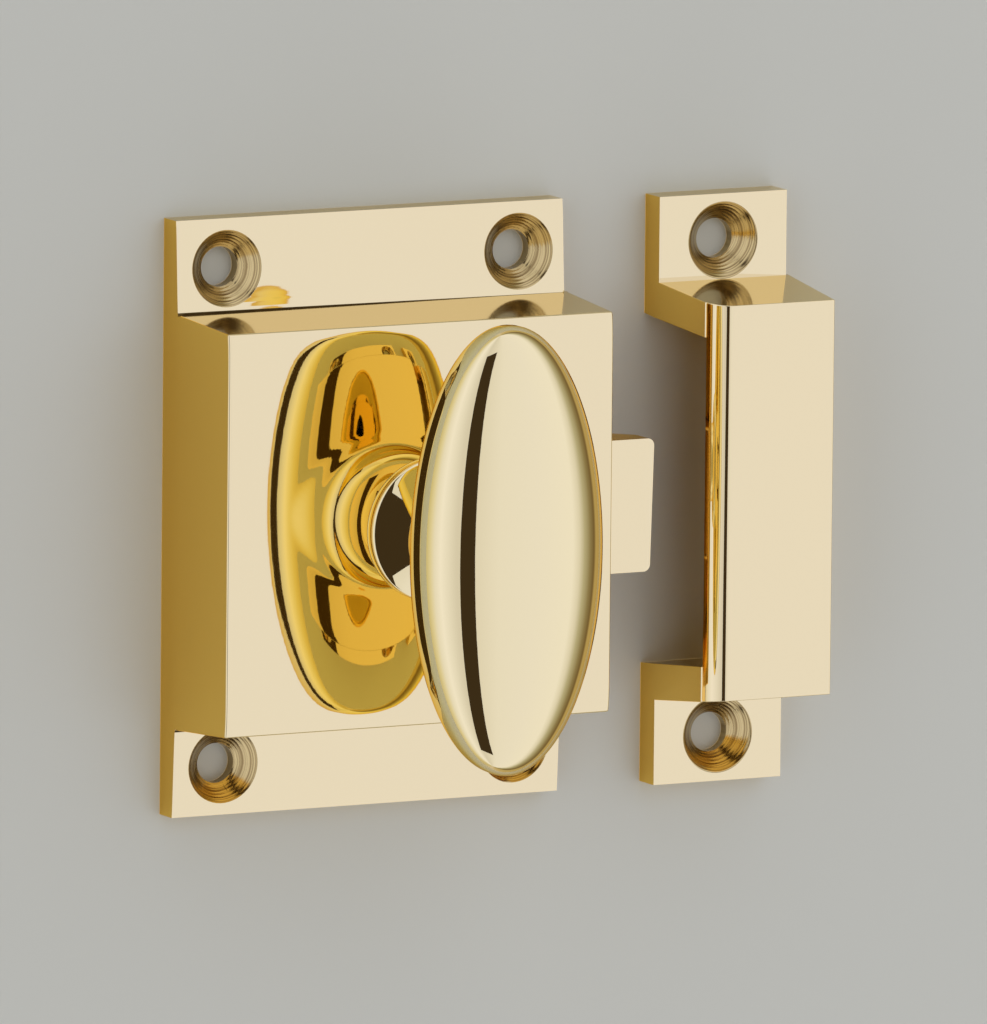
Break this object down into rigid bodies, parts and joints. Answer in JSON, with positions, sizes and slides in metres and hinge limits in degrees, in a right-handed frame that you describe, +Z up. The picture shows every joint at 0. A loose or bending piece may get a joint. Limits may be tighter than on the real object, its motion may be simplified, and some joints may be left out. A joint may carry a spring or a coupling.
{
  "type": "cabinet catch",
  "caption": "Polished brass cabinet catch with an oval turn knob that draws back a sprung latch bolt, and a separate box keep for the frame.",
  "frame": {"origin": "the middle of the case's four screw holes, on the plane that the case and the keep are screwed to", "axes": "+Z up, +X from the case towards the keep, -Y out of the mounting plane towards the person who turns the knob"},
  "size_m": [0.0734, 0.0383, 0.0641],
  "materials": {
    "polished_brass": "cast brass, buffed to a mirror polish",
    "plain_brass": "machined brass, unpolished",
    "steel": "bright turned and drawn steel"
  },
  "bodies": {
    "root": {"case": "polished_brass", "rear_cover": "plain_brass", "cover_screws": "plain_brass", "bolt_spring": "steel", "keep": "polished_brass"},
    "knob_body": {"knob": "polished_brass", "spindle": "steel", "follower": "plain_brass", "follower_washer": "steel", "follower_nut": "plain_brass"},
    "bolt_body": {"latch_bolt": "polished_brass", "guide_pin": "steel"}
  },
  "joints": [
    {"name": "knob_turn", "type": "hinge", "parent": "root", "child": "knob_body", "pos_m": [0.0016, 0, -0.0008], "axis": [0, 1, 0], "range_deg": [0, 45]},
    {"name": "bolt_slide", "type": "slide", "parent": "root", "child": "bolt_body", "axis": [-1, 0, 0], "range_m": [0, 0.0062], "stiffness_N_per_m": 850, "springref_m": -0.003, "deforming": ["bolt_spring"]}
  ],
  "couplings": [
    {"joint": "knob_turn", "follows": "bolt_slide", "rad_per_m": 126.67}
  ]
}
